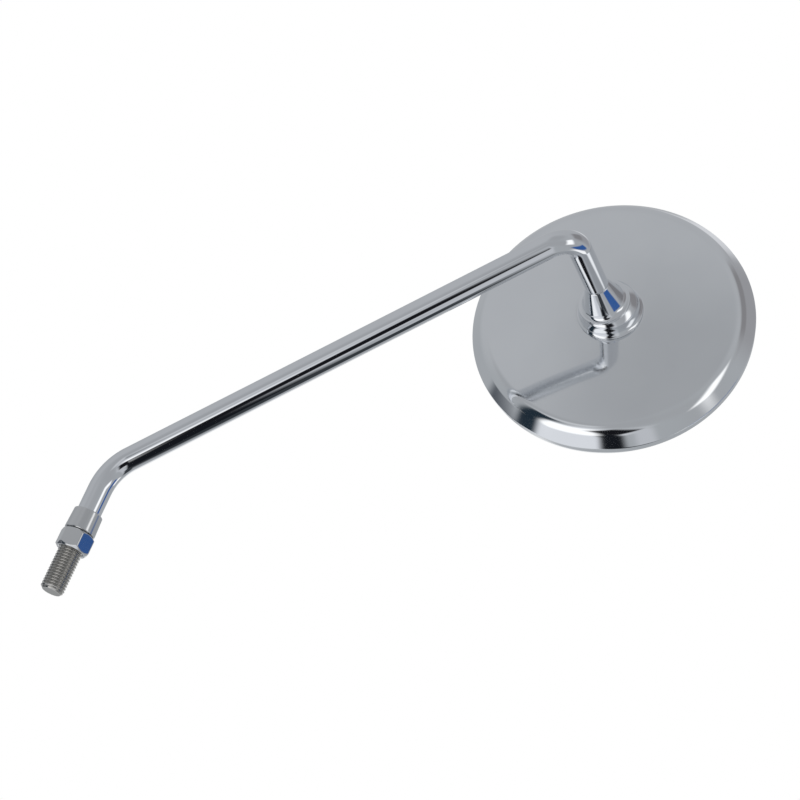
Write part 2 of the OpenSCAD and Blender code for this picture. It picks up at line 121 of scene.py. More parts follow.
def placed(local, at, x, y, z):
    """Local points carried into the mirror's frame: the origin plus each coordinate along its axis."""
    return at + local[..., :1] * x + local[..., 1:2] * y + local[..., 2:] * z


def on_head(local):
    """Points of the head, whose Z axis runs from the glass to the shell's back."""
    return placed(local, HEAD, np.array([-1.0, 0, 0]), HEAD_UP, HEAD_DIR)


def on_leg(local):
    """Points of the cone, whose Z axis runs from the ball's centre up the stem's leg."""
    x = unit(np.cross(UP, -LEG))
    return placed(local, BALL, x, np.cross(-LEG, x), -LEG)


# Profiles and surfaces

def arc(centre, r, start, end, steps):
    """Points on a circle about a centre, from one angle to another, in degrees."""
    t = np.radians(np.linspace(start, end, steps + 1))
    return np.stack([centre[0] + r * np.cos(t), centre[1] + r * np.sin(t)], -1)


def rounded(corners, steps=6, most=0.42, beside=1.3):
    """A profile through corners (radius, height, rounding). Each corner with a rounding becomes an arc
    that touches both its sides and takes up no more than a share of either, with one more point just
    outside each end of the arc, so that the shading of the sides stays flat."""
    c = np.asarray(corners, float)
    out = []
    for before, (x, y, r), after in zip(np.roll(c, 1, 0), c, np.roll(c, -1, 0)):
        if r == 0:
            out.append(np.array([[x, y]]))
            continue
        p = np.array([x, y])
        a, b = before[:2] - p, after[:2] - p
        la, lb = np.linalg.norm(a), np.linalg.norm(b)
        a, b = a / la, b / lb
        half = np.arccos(np.clip(a @ b, -1, 1)) / 2
        reach = min(r / np.tan(half), most * la, most * lb)
        r = reach * np.tan(half)
        centre = p + unit(a + b) * r / np.sin(half)
        first, last = p + a * reach - centre, p + b * reach - centre
        t0 = np.arctan2(first[1], first[0])
        turn = (np.arctan2(last[1], last[0]) - t0 + pi) % (2 * pi) - pi
        t = t0 + turn * np.linspace(0, 1, steps + 1)
        bend = centre + r * np.stack([np.cos(t), np.sin(t)], -1)
        out.append(np.concatenate([[p + a * reach * beside], bend, [p + b * reach * beside]]))
    return np.concatenate(out)


def revolved(profile, columns):
    """A profile of (radius, height) turned about the local Z axis: (r cos t, r sin t, h)."""
    t = np.linspace(0, 2 * pi, columns, endpoint=False)[:, None]
    r, h = profile[None, :, 0], profile[None, :, 1]
    return np.stack([r * np.cos(t), r * np.sin(t), h + 0 * t], -1)


def turned(v, axis, angle):
    """A vector turned about an axis by angles:
    v cos a + (axis x v) sin a + axis (axis . v)(1 - cos a)."""
    a = np.asarray(angle, float)[..., None]
    return v * np.cos(a) + np.cross(axis, v) * np.sin(a) + axis * (v @ axis) * (1 - np.cos(a))


def stem_surface(columns=72, straight_rows=24, bend_rows=48, near=0.01, after_near=0.04):
    """A circle carried along the stem's line, out along its skin and back along its bore. The line is
    straight, an arc about the lower corner, straight, an arc about the upper corner, straight. The
    first two straights have a row close to their start, so that the shading changes at once there."""
    points, across = [], []
    at, direction, x = TUBE_Z * UP, UP, unit(np.cross(UP, ARM))
    for corner, after, bend_r in (
        (LOWER_CORNER, ARM, LOWER_BEND_R),
        (UPPER_CORNER, LEG, UPPER_BEND_R),
    ):
        turn = np.arccos(direction @ after)
        axis = unit(np.cross(direction, after))
        start = corner - bend_r * np.tan(turn / 2) * direction
        inward = unit(np.cross(axis, direction))
        s = np.linspace(after_near, 1, straight_rows, endpoint=False)
        s = np.concatenate([[0, near], s])[:, None]
        points.append(at + s * (start - at))
        across.append(np.repeat(x[None], len(s), 0))
        a = turn * np.linspace(0, 1, bend_rows, endpoint=False)
        points.append(start + bend_r * inward - bend_r * turned(inward, axis, a))
        across.append(turned(x, axis, a))
        at, x = corner + bend_r * np.tan(turn / 2) * after, turned(x, axis, turn)
        direction = after
    s = np.linspace(0, 1, straight_rows + 1)[:, None]
    points.append(at + s * (BALL - CONE_TOP_H * LEG - at))
    across.append(np.repeat(x[None], len(s), 0))
    points, across = np.concatenate(points), np.concatenate(across)
    along = unit(np.gradient(points, axis=0))
    across = unit(across - along * (across * along).sum(1, keepdims=True))
    other = np.cross(along, across)
    t = np.linspace(0, 2 * pi, columns, endpoint=False)[:, None, None]
    ring = across * np.cos(t) + other * np.sin(t)
    return np.concatenate([points + TUBE_R * ring, (points + TUBE_BORE_R * ring)[:, ::-1]], 1)


def stud_surface(columns=120, per_turn=20):
    """The fitting as a turned solid: threaded stud, collar, spigot. On the thread the radius swings as a
    cosine between the crest and 5/8 H below it, once in each pitch of height minus turn, so that crest
    and root are rounded, as rolling leaves them. H, the height of a sharp thread, is 0.866 of the
    pitch."""
    tip_r, core_r, neck_r = 3.9, 3.6, 4.9
    collar_r, collar_top_r, collar_round = 6.5, 6.1, 0.45
    spigot_r, spigot_top = 3.45, TUBE_Z + 8
    t = np.linspace(0, 2 * pi, columns, endpoint=False)[:, None]
    h = np.arange(-STUD_FREE, COLLAR_Z, PITCH / per_turn)[None, :]
    depth = 5 / 8 * 0.866 * PITCH
    thread = STUD_R - depth / 2 * (1 - np.cos(2 * pi * h / PITCH - t))
    thread = np.minimum(thread, tip_r + h + STUD_FREE)
    collar = rounded([
        [neck_r, COLLAR_Z, 0], [collar_r, COLLAR_Z, collar_round],
        [collar_top_r, TUBE_Z, collar_round], [spigot_r, TUBE_Z, 0],
    ])
    above = np.concatenate([collar, [[spigot_r, spigot_top], [0, spigot_top]]])
    r = np.concatenate([0 * t, 0 * t + core_r, thread, above[None, :, 0] + 0 * t], 1)
    z = np.concatenate([0 * t - STUD_FREE, 0 * t - STUD_FREE, h + 0 * t, above[None, :, 1] + 0 * t], 1)
    return np.stack([r * np.cos(t), r * np.sin(t), z], -1)


def soft_least(a, b, blur):
    """The lesser of two radii, rounded over where they are nearly alike."""
    k = np.clip(0.5 + (b - a) / (2 * blur), 0, 1)
    return b + (a - b) * k - blur * k * (1 - k)


def nut_surface(columns=288, close_rows=28, plain_rows=6):
    """A hexagon cut by a cone at each end: the least of the flat's radius a / cos(t) and the cones'
    radii, over angle and height, with the countersunk bore inside. The rows lie close near both ends."""
    turn, face_r, fall, sink = radians(5), 6.1, 1.3, 0.6
    corner_round, rim_round, close_h, plain_z = 0.12, 0.10, 1.8, 2.2
    t = np.linspace(0, 2 * pi, columns, endpoint=False)[:, None]
    local = (t - turn) % (pi / 3) - pi / 6
    corner = NUT_FLATS / 2 / np.cos(pi / 6)
    hexagon = soft_least(NUT_FLATS / 2 / np.cos(local), corner - corner_round + 0 * local, corner_round)
    end = np.linspace(0, close_h, close_rows)
    plain = np.linspace(plain_z, NUT_H - plain_z, plain_rows)
    h = np.concatenate([end, plain, NUT_H - end[::-1]])[None, :]
    cone = face_r + (corner - face_r) / fall * np.minimum(h, NUT_H - h)
    side = soft_least(hexagon + 0 * h, cone + 0 * t, rim_round)
    bore_r = STUD_R + LAY
    bore = np.array([
        [bore_r + sink, NUT_H], [bore_r, NUT_H - sink], [bore_r, sink], [bore_r + sink, 0],
    ])
    r = np.concatenate([side, bore[None, :, 0] + 0 * t], 1)
    z = np.concatenate([h + 0 * t, bore[None, :, 1] + 0 * t], 1)
    return np.stack([r * np.cos(t), r * np.sin(t), z], -1)


def cone_profile():
    """The cone's outline: its hollow end on the dome, its lip, a flare, and a straight cone. The flare
    is the ellipse (across - a sin t, up - b cos t). The straight is the tangent from it to the tube's
    rim: measured from the ellipse's middle in steps of a and b, that rim lies at an angle p and a
    distance d, and the tangent leaves the ellipse at t = p - arccos(1 / d)."""
    flare_r, flare_h, lip_h, edge = 8.1, 3.4, 0.9, 0.3
    low_round, lip_round, top_round = 0.15, 0.25, 0.1
    under_r, shank_r = DOME_R + LIP_GAP, TUBE_BORE_R - LAY
    low = np.sqrt(under_r ** 2 - LIP_R ** 2)
    lip_top, top = low + lip_h, CONE_TOP_H - LAY
    across, up = LIP_R - edge, lip_top + flare_h
    a, b = across - flare_r, flare_h
    rim_at = (across - TUBE_R) / a, (up - top + edge) / b
    leave = np.arctan2(*rim_at) - np.arccos(1 / np.hypot(*rim_at))
    t = np.linspace(0, leave, 17)
    flare = np.stack([across - a * np.sin(t), up - b * np.cos(t)], -1)
    inner, outer = np.degrees(np.arccos([shank_r / under_r, LIP_R / under_r]))
    under = arc([0, 0], under_r, inner, outer, 16)
    lip = rounded([
        [*under[-2], 0], [LIP_R, low, low_round], [LIP_R, lip_top, lip_round], [*flare[1], 0],
    ])[1:-1]
    upper = rounded([
        [*flare[-1], 0], [TUBE_R, top - edge, top_round], [TUBE_R - edge, top, top_round],
        [shank_r, top, 0],
    ])[1:-1]
    return np.concatenate([under[:-1], lip, flare[1:], upper, [[shank_r, top]]])


def base_profile():
    """The swivel base's outline: foot, flank that follows an ellipse, rounded shoulder, dome, mouth, the
    dome's hollow, the stop for the seat ring and the bore. In degrees about the ball, the mouth's edge
    is measured from the axis and the hollow's end from the level."""
    shoulder_r, round_r, foot_r, foot_h, foot_round, edge_round = 11.8, 1.1, 13.7, 0.4, 0.1, 0.15
    mouth, hollow_end, wall, steep = 27, 52, 1.4, radians(80)
    stop_r, stop_z, bore_r, spigot_low = 9.8, PIVOT_H + 6.3, 10.5, PIVOT_H - 4.4
    foot_z = SEAT_Z + LAY
    at_r = shoulder_r - round_r
    at_z = PIVOT_H + np.sqrt((DOME_R - round_r) ** 2 - at_r ** 2)
    leave = np.degrees(np.arcsin((at_z - PIVOT_H) / (DOME_R - round_r)))
    t = np.linspace(steep, 0, 15)
    flank = np.stack([
        shoulder_r + (foot_r - shoulder_r) * (1 - np.cos(t)) / (1 - np.cos(steep)),
        at_z - (at_z - foot_z - foot_h) * np.sin(t) / np.sin(steep),
    ], -1)
    shoulder = arc([at_r, at_z], round_r, 0, leave, 10)[1:]
    dome = arc([0, PIVOT_H], DOME_R, leave, 90 - mouth, 20)[1:]
    hollow = arc([0, PIVOT_H], DOME_R - wall, 90 - mouth, hollow_end, 8)
    foot = rounded([
        [SPIGOT_R, foot_z, 0], [foot_r, foot_z, foot_round], [foot_r, foot_z + foot_h, edge_round],
        [*flank[2], 0],
    ])[1:-1]
    inside = [
        [stop_r, hollow[-1][1]], [stop_r, stop_z], [bore_r, stop_z], [bore_r, spigot_low],
    ]
    spigot = [[SPIGOT_R, spigot_low], [SPIGOT_R, foot_z]]
    return np.concatenate([spigot, foot, flank[2:], shoulder, dome, hollow, inside])


def shoulder_foot_z(inset):
    """Height of the shoulder's foot when the outline is moved inwards by a distance."""
    return SHOULDER_TOP_Z - inset * (1 - np.sin(SHOULDER_STEEP)) / np.cos(SHOULDER_STEEP)


def crease():
    """Centre of the crease's rounding, which touches the dome and the cone of the shoulder from
    inside, and the angle at which it leaves the dome."""
    normal = np.array([np.sin(SHOULDER_STEEP), np.cos(SHOULDER_STEEP)])
    down = np.array([np.cos(SHOULDER_STEEP), -np.sin(SHOULDER_STEEP)])
    far = normal @ [HEAD_R, SHOULDER_TOP_Z]
    foot = (far - CREASE_R) * normal - [0, DOME_CENTRE_Z]
    step = foot @ down + np.sqrt((foot @ down) ** 2 - foot @ foot + (SHELL_DOME_R - CREASE_R) ** 2)
    at = foot - step * down + [0, DOME_CENTRE_Z]
    return at, np.degrees(np.arctan2(at[1] - DOME_CENTRE_Z, at[0]))


def shell_line(inset, edge_round):
    """The head's outline moved inwards: flat seat, shallow dome, crease, conical shoulder, upright
    edge. A short slope softens the step from the seat to the dome."""
    seat_soft = 0.3
    at, leave = crease()
    r = SHELL_DOME_R - inset
    seat = [[SPIGOT_R + LAY, SEAT_Z - inset], [SEAT_FLAT_R - seat_soft, SEAT_Z - inset]]
    dome = arc([0, DOME_CENTRE_Z], r, np.degrees(np.arccos((SEAT_FLAT_R + seat_soft) / r)), leave, 40)
    bend = arc(at, CREASE_R - inset, leave, 90 - np.degrees(SHOULDER_STEEP), 28)[1:]
    foot = rounded([
        [*bend[-1], 0], [HEAD_R - inset, shoulder_foot_z(inset), edge_round],
        [HEAD_R - inset, EDGE_Z, 0],
    ])[1:-1]
    return np.concatenate([seat, dome, bend, foot])


def shell_profile():
    """The pressed shell's section: outline, lip, and the outline again one wall inside."""
    inner_r, lip_round, outer_round, inner_round = HEAD_R - SHELL_WALL, 0.15, 0.8, 0.3
    lip = rounded([
        [HEAD_R, SHOULDER_TOP_Z, 0], [HEAD_R, EDGE_Z, lip_round], [inner_r, EDGE_Z, lip_round],
        [inner_r, SHOULDER_TOP_Z, 0],
    ])[1:-1]
    return np.concatenate([
        shell_line(0, outer_round), lip, shell_line(SHELL_WALL, inner_round)[::-1],
    ])


def bezel_profile():
    """The rim's section: rounded nose, seam under the shell's edge, skirt tucked inside the shell,
    and the lip over the glass."""
    bend_round, end_round, corner_round = 0.2, 0.15, 0.05
    nose = arc([RIM_R - NOSE_R, 0], NOSE_R, -90, 0, 24)
    out_r = HEAD_R - SHELL_WALL - LAY
    in_r = out_r - SKIRT_WALL
    top, bend_z, lip_z = EDGE_Z - SEAM, shoulder_foot_z(SHELL_WALL + LAY) - LAY, RIM_LIP_H - NOSE_R
    tuck = (SKIRT_H - bend_z) / np.tan(SHOULDER_STEEP)
    rest = rounded([
        [*nose[-1], 0], [RIM_R, top, bend_round], [out_r, top, corner_round],
        [out_r, bend_z, bend_round], [out_r - tuck, SKIRT_H, end_round],
        [in_r - tuck, SKIRT_H, end_round], [in_r, bend_z, bend_round], [in_r, lip_z, bend_round],
        [RIM_MOUTH_R, lip_z, bend_round], [RIM_MOUTH_R, -NOSE_R, bend_round], [*nose[0], 0],
    ])[1:-1]
    return np.concatenate([nose, rest])


def glass_z(r, depth):
    """Height at a radius of the glass's front sphere, moved a depth into the head: the centre's height
    less the root of (sphere's radius less the depth) squared less r squared."""
    return GLASS_CENTRE_Z - np.sqrt((GLASS_CURVE_R - depth) ** 2 - r ** 2)


def glass_profile():
    """The convex glass from its middle outwards: a front on its sphere, a ground edge with a small
    rounding at each face, and a back one thickness behind the front."""
    face_end, edge_round = 1.0, 0.3
    r = np.linspace(0, GLASS_R - face_end, 40)
    front, back = (np.stack([r, glass_z(r, depth)], -1) for depth in (0, GLASS_H))
    edge = rounded([
        [*front[-1], 0], [GLASS_R, glass_z(GLASS_R, 0), edge_round],
        [GLASS_R, glass_z(GLASS_R, GLASS_H), edge_round], [*back[-1], 0],
    ])[1:-1]
    return np.concatenate([front, edge, back[::-1]])


def gasket_profile():
    """The rubber channel round the glass's edge, with small roundings on its lips."""
    back_wall, low_round, edge_round, lip_round, seat_round = 0.7, 0.15, 0.2, 0.3, 0.05
    lip_r, seat_r = GLASS_R - 1.2, GLASS_R + LAY
    front, back = glass_z(RIM_MOUTH_R, 0) - LAY, glass_z(GLASS_R, GLASS_H) + LAY
    low, high = RIM_LIP_H - NOSE_R + LAY, glass_z(GLASS_R, GLASS_H) + back_wall
    return rounded([
        [lip_r, low, low_round], [GASKET_R, low, edge_round], [GASKET_R, high, edge_round],
        [lip_r, high, lip_round], [lip_r, back, seat_round], [seat_r, back, seat_round],
        [seat_r, front, seat_round], [lip_r, front, seat_round],
    ])


def pad_surface(columns=240, side_rows=20, face_rows=14):
    """The foam ring: its upper face lies on the shell's dome and its lower face on the glass; its two
    free sides bulge by a sine of the height, pull in a little where they meet the faces, and swell
    and sink by a slow wave round the ring."""
    bulge, nip, slow_wave, quick_wave = 0.8, 0.5, 0.15, 0.1
    t = np.linspace(0, 2 * pi, columns, endpoint=False)[:, None]
    s = np.linspace(0, 1, side_rows)[None, :]
    top_r = SHELL_DOME_R - SHELL_WALL - 2 * LAY
    wave = slow_wave * np.sin(3 * t + 0.4) + quick_wave * np.sin(7 * t)

    def ends(r):
        return glass_z(r, GLASS_H + 2 * LAY), DOME_CENTRE_Z + np.sqrt(top_r ** 2 - r ** 2)

    def side(r, sign):
        out = r + sign * ((bulge + wave) * np.sin(pi * s) - nip)
        low, high = ends(out)
        return out, low + (high - low) * s
    inner_r, inner_z = side(PAD_IN_R, -1)
    outer_r, outer_z = side(PAD_OUT_R, 1)
    across = np.linspace(0, 1, face_rows)[None, 1:-1]
    top = inner_r[:, -1:] + (outer_r[:, -1:] - inner_r[:, -1:]) * across
    low = outer_r[:, :1] + (inner_r[:, :1] - outer_r[:, :1]) * across
    r = np.concatenate([inner_r, top, outer_r[:, ::-1], low], 1)
    z = np.concatenate([inner_z, ends(top)[1], outer_z[:, ::-1], ends(low)[0]], 1)
    return np.stack([r * np.cos(t), r * np.sin(t), z], -1)


# From surfaces to pieces

def piece(name, points, material, body, replaces, closed=True):
    """A grid of points, in millimetres, made a mesh: columns run round the piece and rows along its
    profile, which closes on itself or ends in a pole at each end. The faces are turned outwards by the
    sign of the volume that they enclose."""
    n, m = points.shape[:2]
    index = np.arange(n * m).reshape(n, m)
    if not closed:
        index[:, 0], index[:, -1] = index[0, 0], index[0, -1]
    right, up = np.roll(index, -1, 0), np.roll(index, -1, 1)
    corner = np.roll(right, -1, 1)
    quads = np.stack([index, right, corner, up], -1)
    quads = quads.reshape(-1, 4) if closed else quads[:, 1:-2].reshape(-1, 4)
    tips = np.empty((0, 3), int)
    if not closed:
        tips = np.concatenate([
            np.stack([index[:, 0], corner[:, 0], up[:, 0]], -1),
            np.stack([index[:, -2], right[:, -2], index[:, -1]], -1),
        ])
    flat = points.reshape(-1, 3)
    halves = np.concatenate([quads[:, [0, 1, 2]], quads[:, [0, 2, 3]], tips])
    a, b, c = (flat[halves[:, i]] - flat.mean(0) for i in range(3))
    if (a * np.cross(b, c)).sum() < 0:
        quads, tips = quads[:, ::-1], tips[:, ::-1]
    used = np.unique(np.concatenate([quads.ravel(), tips.ravel()]))
    new = np.zeros(n * m, int)
    new[used] = np.arange(len(used))
    mesh = bpy.data.meshes.new(name)
    mesh.from_pydata((flat[used] * MM).tolist(), [], new[quads].tolist() + new[tips].tolist())
    mesh.shade_smooth()
    mesh.materials.append(material)
    made = bpy.data.objects.new(name, mesh)
    bpy.context.scene.collection.objects.link(made)
    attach(made, body)
    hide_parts(replaces)
    return made


# Materials

def linear(colour):
    """The linear value of an sRGB colour written as hex."""
    s = np.array([int(colour[i:i + 2], 16) / 255 for i in (1, 3, 5)])
    return (*np.where(s <= 0.04045, s / 12.92, ((s + 0.055) / 1.055) ** 2.4), 1.0)


def add(tree, kind, inputs=None, **settings):
    """Add a node with its settings, and give each named input its value or link."""
    made = tree.nodes.new(kind)
    for key, value in settings.items():
        setattr(made, key, value)
    for key, value in (inputs or {}).items():
        if isinstance(value, bpy.types.NodeSocket):
            tree.links.new(value, made.inputs[key])
        else:
            made.inputs[key].default_value = value
    return made


def surface(name, **inputs):
    """A material with a principled shader, and its tree and shader, for its nodes to be added."""
    material = bpy.data.materials.new(name)
    material.use_nodes = True
    tree = material.node_tree
    shader = tree.nodes["Principled BSDF"]
    for key, value in inputs.items():
        shader.inputs[key].default_value = value
    return material, tree, shader


def plated(name, low, high, roughness, scratch, wave_mm, depth_mm):
    """Polished metal under bright plating: its colour wavers a little between two tones, a long soft
    wave left by polishing bends the reflections, and fine wiping marks roughen it in patches."""
    tone_mm, mark_mm, mark_stretch = 18, 6, 9
    material, tree, shader = surface(name, Metallic=1.0)
    place = add(tree, "ShaderNodeTexCoord").outputs["Object"]
    tone = add(tree, "ShaderNodeTexNoise", {"Vector": place, "Scale": 1 / (tone_mm * MM), "Detail": 2.0})
    mix = add(tree, "ShaderNodeMix", {
        "Factor": tone.outputs["Fac"], "A": linear(low), "B": linear(high),
    }, data_type="RGBA")
    tree.links.new(mix.outputs["Result"], shader.inputs["Base Color"])
    wiped = add(tree, "ShaderNodeMapping", {"Vector": place, "Scale": (1, 1, mark_stretch)})
    marks = add(tree, "ShaderNodeTexNoise", {
        "Vector": wiped.outputs["Vector"], "Scale": 1 / (mark_mm * MM), "Detail": 5.0, "Roughness": 0.6,
    })
    rough = add(tree, "ShaderNodeMapRange", {
        "Value": marks.outputs["Fac"], "From Min": 0.4, "From Max": 0.75,
        "To Min": roughness, "To Max": roughness + scratch,
    })
    tree.links.new(rough.outputs["Result"], shader.inputs["Roughness"])
    soft = add(tree, "ShaderNodeTexNoise", {"Vector": place, "Scale": 1 / (wave_mm * MM), "Detail": 1.0})
    bump = add(tree, "ShaderNodeBump", {
        "Height": soft.outputs["Fac"], "Strength": 1.0, "Distance": depth_mm * MM,
    })
    tree.links.new(bump.outputs["Normal"], shader.inputs["Normal"])
    return material


def darker_below(material, height, tone):
    """Below a height, in millimetres, a material keeps a second tone in place of its own colour; the two
    pass into each other over half a millimetre."""
    half_step = 0.25
    tree = material.node_tree
    base = tree.nodes["Principled BSDF"].inputs["Base Color"]
    place = add(tree, "ShaderNodeTexCoord").outputs["Object"]
    split = add(tree, "ShaderNodeSeparateXYZ", {"Vector": place})
    step = add(tree, "ShaderNodeMapRange", {
        "Value": split.outputs["Z"],
        "From Min": (height - half_step) * MM, "From Max": (height + half_step) * MM,
    })
    mix = add(tree, "ShaderNodeMix", {
        "Factor": step.outputs["Result"], "A": linear(tone), "B": base.links[0].from_socket,
    }, data_type="RGBA")
    tree.links.new(mix.outputs["Result"], base)


def grained(name, low, high, roughness, grain_mm, depth_mm, metallic=0.0, cells=False):
    """A plain surface whose grain, of noise or of cells, shows in its colour, its gloss and a shallow
    relief. The colour is darkest where the relief is lowest, so with cells each cell's hollow carries
    painted shade."""
    rough_range = 0.06
    material, tree, shader = surface(name, Metallic=metallic)
    place = add(tree, "ShaderNodeTexCoord").outputs["Object"]
    if cells:
        # Each cell's colour follows its depth and is darkest at the bottom of its hollow: painted shade
        grain = add(tree, "ShaderNodeTexVoronoi", {"Vector": place, "Scale": 1 / (grain_mm * MM)})
        level = grain.outputs["Distance"]
    else:
        grain = add(tree, "ShaderNodeTexNoise", {
            "Vector": place, "Scale": 1 / (grain_mm * MM), "Detail": 4.0,
        })
        level = grain.outputs["Fac"]
    mix = add(tree, "ShaderNodeMix", {
        "Factor": level, "A": linear(low), "B": linear(high),
    }, data_type="RGBA")
    tree.links.new(mix.outputs["Result"], shader.inputs["Base Color"])
    rough = add(tree, "ShaderNodeMapRange", {
        "Value": level, "To Min": roughness - rough_range, "To Max": roughness + rough_range,
    })
    tree.links.new(rough.outputs["Result"], shader.inputs["Roughness"])
    bump = add(tree, "ShaderNodeBump", {"Height": level, "Strength": 1.0, "Distance": depth_mm * MM})
    tree.links.new(bump.outputs["Normal"], shader.inputs["Normal"])
    return material


# Nickel-chrome plate over buffed steel: a cool, bright mirror with a faint long wave in it
shell_chrome = plated(
    "nickel chrome on buffed pressed steel", "#e4e6e9", "#ebedef",
    roughness=0.065, scratch=0.03, wave_mm=30, depth_mm=0.10,
)
# The same plate on drawn tube: a sharp mirror with straight reflections, a little wiped
tube_chrome = plated(
    "nickel chrome on polished drawn tube", "#e2e4e7", "#e9ebee",
    roughness=0.03, scratch=0.04, wave_mm=14, depth_mm=0.004,
)
# The same plate on turned parts: crisp edges and soft bands
turned_chrome = plated(
    "nickel chrome on turned and buffed metal", "#e0e2e5", "#e8eaed",
    roughness=0.06, scratch=0.04, wave_mm=9, depth_mm=0.003,
)
# Bright zinc on a pressed nut: greyer than the chrome and a little blurred
bright_zinc = plated(
    "bright zinc on pressed steel", "#d2d3d4", "#dcddde",
    roughness=0.08, scratch=0.05, wave_mm=8, depth_mm=0.002,
)
# The same zinc on the fitting's collar; on its rolled thread it is thin, warmer and darker, as the
# steel shows through
rolled_zinc = plated(
    "bright zinc on turned steel, thin on its thread", "#d0d1d2", "#d8d9da",
    roughness=0.09, scratch=0.05, wave_mm=8, depth_mm=0.002,
)
# The tone changes out of sight, just inside the nut
THREAD_TONE, TONE_DROP = "#bab8b4", 0.3
darker_below(rolled_zinc, COLLAR_Z - TONE_DROP, THREAD_TONE)
# Silvering seen through clear float glass: a clean, slightly green mirror
silvering = plated(
    "silvering under clear float glass", "#e6ebe9", "#e9eeec",
    roughness=0.0, scratch=0.01, wave_mm=60, depth_mm=0.0005,
)
# Plain zinc on stamped steel: dull, fine-grained grey
dull_zinc = grained(
    "dull zinc on stamped steel", "#a9abad", "#bcbec0",
    roughness=0.38, grain_mm=0.8, depth_mm=0.01, metallic=1.0,
)
# Blued spring strip: dark grey with a blue cast
blued_strip = grained(
    "blued spring strip", "#3c4048", "#555b66",
    roughness=0.32, grain_mm=1.2, depth_mm=0.01, metallic=1.0,
)
# Moulded nylon: warm white with a faint mould texture
nylon = grained(
    "moulded natural nylon", "#e4dfcf", "#efebdd",
    roughness=0.45, grain_mm=0.6, depth_mm=0.01,
)
# Closed-cell foam: dark and matt, with fine closed bubbles about half a millimetre across, each hollow
# painted darker towards its middle as painted shade
foam = grained(
    "cut closed-cell foam", "#242527", "#46484b",
    roughness=0.9, grain_mm=0.5, depth_mm=0.12, cells=True,
)
# Moulded rubber: nearly black with a fine matt skin
rubber = grained(
    "moulded black rubber", "#161617", "#26272a",
    roughness=0.6, grain_mm=0.4, depth_mm=0.01,
)


# The pieces

piece("chromed_stem", stem_surface(), tube_chrome, "stem", "stem_tube")
piece("threaded_stud", stud_surface(), rolled_zinc, "stem", "stud_fitting", closed=False)
piece("hexagon_nut", nut_surface(), bright_zinc, "nut", "lock_nut")
piece("flared_cone", on_leg(revolved(cone_profile(), 192)), turned_chrome, "stem",
      "cone_ferrule")
piece("domed_base", on_head(revolved(base_profile(), 192)), turned_chrome, "head",
      "swivel_base")
piece("pressed_shell", on_head(revolved(shell_profile(), 480)), shell_chrome, "head",
      "back_shell")
piece("rolled_rim", on_head(revolved(bezel_profile(), 480)), shell_chrome, "head",
      "bezel")
piece("convex_glass", on_head(revolved(glass_profile(), 360)), silvering, "head",
      "mirror_glass", closed=False)
piece("glass_gasket", on_head(revolved(gasket_profile(), 360)), rubber, "head",
      "edge_gasket")
foam_ring = piece("foam_ring", on_head(pad_surface()), foam, "head", "cushion_pad")

for node_name, material in {
    "ball_stud": dull_zinc, "seat_ring": dull_zinc, "pressure_ring": dull_zinc,
    "thrust_washer": dull_zinc, "retaining_cap": dull_zinc, "backing_plate": dull_zinc,
    "wave_spring": blued_strip, "upper_liner": nylon, "lower_liner": nylon,
}.items():
    carried = frame["nodes"][node_name]
    carried.data.materials.clear()
    carried.data.materials.append(material)


# The studio: a pale floor, a light tent that only the metal sees, one soft lamp

TENT_AT = np.array([-0.08, 0.0, 0.11])
TENT_R = 0.8
# The plating gives back about this share of the light, so the wall glows brighter by that much
METAL_SHARE = 0.80
TENT_WALL = "#9da0a3"
# Cards and lights on the tent's wall: azimuth from +Y towards +X and elevation of the middle,
# half width, half height, soft edge, lean, in degrees, and the tone that the metal shows
TENT_CARDS = [
    ("roof", 0, 90, 60, 60, 60, 0, "#a4a6a9"),
    ("rear wall", 50, 30, 44, 30, 40, 0, "#a8aaad"),
    ("grey corner", -10, 28, 22, 18, 24, 0, "#999b9e"),
    ("low front", -20, -8, 70, 14, 20, 0, "#9a9c9f"),
    ("floor", 60, -78, 60, 26, 18, 0, "#d2d4d8"),
    ("right wall", 152, 14, 10, 14, 8, 0, "#e4e5e6"),
    ("left wall", -176, 56, 10, 7, 8, 0, "#c8c9cc"),
    ("far lamp", 172, -8, 14, 14, 10, 0, "#dcddde"),
    ("dark doorway", -104, 50, 26, 20, 20, 0, "#909093"),
    ("dark beam", -82, 54, 12, 16, 10, 0, "#7f7e80"),
    ("window", -70, 6, 17, 8, 9, 50, "#ffffff"),
    ("lamp beside it", -129, -12, 7, 10, 5, 0, "#f4f4f4"),
    ("blue card", -110, -1, 9, 17, 6, 0, "#33568f"),
    ("pale shelf", -90, -45, 26, 6, 6, 0, "#b4b6ba"),
    ("floor edge", -72, -64, 46, 8, 6, 0, "#15171c"),
    ("low dark", -130, -43, 18, 9, 8, -40, "#33373b"),
    ("pale strip", 14, -14, 16, 5, 8, 0, "#bcbec1"),
    ("bright table", 17, -52, 21, 19, 9, 0, "#ffffff"),
    ("camera stand", -27, -41, 16, 10, 8, 20, "#141418"),
    ("dark corner", 48, -40, 34, 8, 7, -38, "#1e2a34"),
    ("dark gap", 108, -35, 12, 15, 8, 0, "#50545a"),
]


